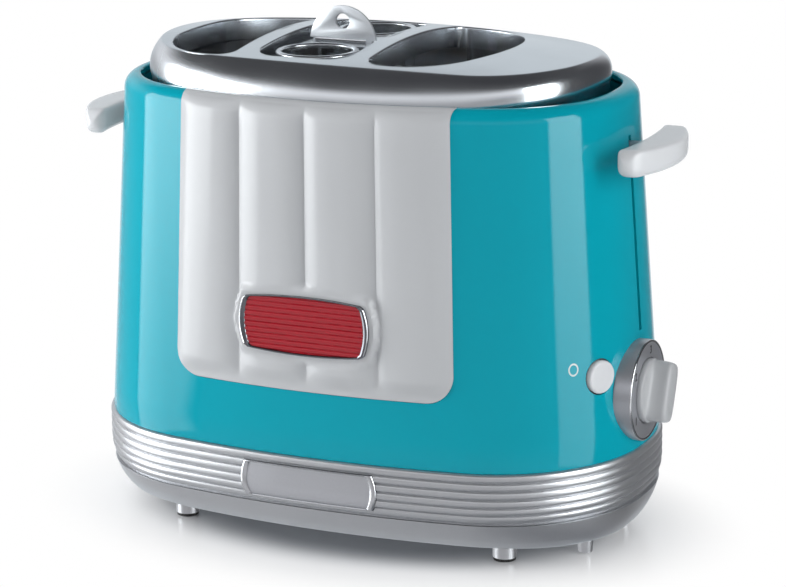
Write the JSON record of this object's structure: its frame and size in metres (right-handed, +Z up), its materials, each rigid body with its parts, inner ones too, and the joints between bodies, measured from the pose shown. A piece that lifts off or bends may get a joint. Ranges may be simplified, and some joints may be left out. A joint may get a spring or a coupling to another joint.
{
  "type": "hot dog toaster",
  "caption": "Retro oval hot dog toaster: bread roll slots either side of a lift-out sausage basket, side levers, browning dial, stop button, crumb tray.",
  "frame": {"origin": "on the floor plane under the middle of the base, at the underside of the feet", "axes": "+X towards the browning dial, -Y towards the front panel, +Z up"},
  "size_m": [0.3, 0.1684, 0.2456],
  "materials": {
    "turquoise": "high gloss, moulded in colour",
    "white_gloss": "gloss white moulding",
    "silver_gloss": "silver lacquer",
    "chrome_trim": "plated trim",
    "red_plate": "ribbed red plate",
    "satin_chrome": "satin plated ring",
    "pad_rubber": "matt black",
    "black_plastic": "matt black moulding",
    "polished_steel": "polished stainless sheet",
    "liner_steel": "aluminised sheet",
    "wire_steel": "bright wire",
    "zinc_steel": "zinc-plated sheet",
    "mica": "pressed mica sheet",
    "heater_alloy": "oxidised resistance strip",
    "grey_plastic": "slide block moulding",
    "board_green": "circuit board with solder resist",
    "coil_copper": "enamelled copper winding"
  },
  "bodies": {
    "toaster": {"housing_shell": "turquoise", "front_panel": "white_gloss", "base_ring": "silver_gloss", "base_pan": "silver_gloss", "feet": "silver_gloss", "cord_pegs": "silver_gloss", "emblem_frame": "chrome_trim", "badge_plate": "chrome_trim", "emblem_plate": "red_plate", "knob_dial": "satin_chrome", "foot_pads": "pad_rubber", "cord_gland": "black_plastic", "terminal_block": "black_plastic", "potentiometer": "black_plastic", "stop_switch": "black_plastic", "tray_rails": "black_plastic", "top_cover": "polished_steel", "bun_liner_left": "liner_steel", "bun_liner_right": "liner_steel", "sausage_reflector_front": "liner_steel", "sausage_reflector_rear": "liner_steel", "bun_guard_left": "wire_steel", "bun_guard_right": "wire_steel", "guide_rod_left": "wire_steel", "guide_rod_right": "wire_steel", "lift_spring_left": "wire_steel", "lift_spring_right": "wire_steel", "base_screws": "wire_steel", "chassis_floor": "zinc_steel", "chassis_top": "zinc_steel", "chassis_end_left": "zinc_steel", "chassis_end_right": "zinc_steel", "magnet_core": "zinc_steel", "board_standoffs": "zinc_steel", "heater_card_left": "mica", "heater_card_right": "mica", "heater_wire_left": "heater_alloy", "heater_wire_right": "heater_alloy", "control_board": "board_green", "magnet_coil": "coil_copper"},
    "carriage": {"carriage_beam": "zinc_steel", "lever_arm_left": "zinc_steel", "lever_arm_right": "zinc_steel", "lever_handle_left": "white_gloss", "lever_handle_right": "white_gloss", "slider_left": "grey_plastic", "slider_right": "grey_plastic", "bun_rack_left": "zinc_steel", "bun_rack_right": "zinc_steel", "basket_platform": "zinc_steel", "latch_armature": "zinc_steel"},
    "basket": {"basket_top": "polished_steel", "basket_tab": "polished_steel", "basket_cage": "polished_steel", "basket_cup_floors": "polished_steel"},
    "dial_knob": {"knob": "white_gloss", "knob_shaft": "wire_steel"},
    "stop_key": {"stop_button": "white_gloss"},
    "tray": {"crumb_tray": "silver_gloss"}
  },
  "joints": [
    {"name": "carriage_slide", "type": "slide", "parent": "toaster", "child": "carriage", "axis": [0, 0, -1], "range_m": [0, 0.08], "stiffness_N_per_m": 150, "springref_m": -0.04, "deforming": ["lift_spring_left", "lift_spring_right"]},
    {"name": "basket_lift", "type": "slide", "parent": "carriage", "child": "basket", "axis": [0, 0, 1], "range_m": [0, 0.09]},
    {"name": "knob_turn", "type": "hinge", "parent": "toaster", "child": "dial_knob", "pos_m": [0.13616, -0.006, 0.076], "axis": [1, 0, 0], "range_deg": [-138, 138]},
    {"name": "button_press", "type": "slide", "parent": "toaster", "child": "stop_key", "axis": [-0.9011, 0.4335, 0], "range_m": [0, 0.0025], "stiffness_N_per_m": 800, "springref_m": -0.001},
    {"name": "tray_slide", "type": "slide", "parent": "toaster", "child": "tray", "axis": [0, 1, 0], "range_m": [0, 0.12]}
  ]
}
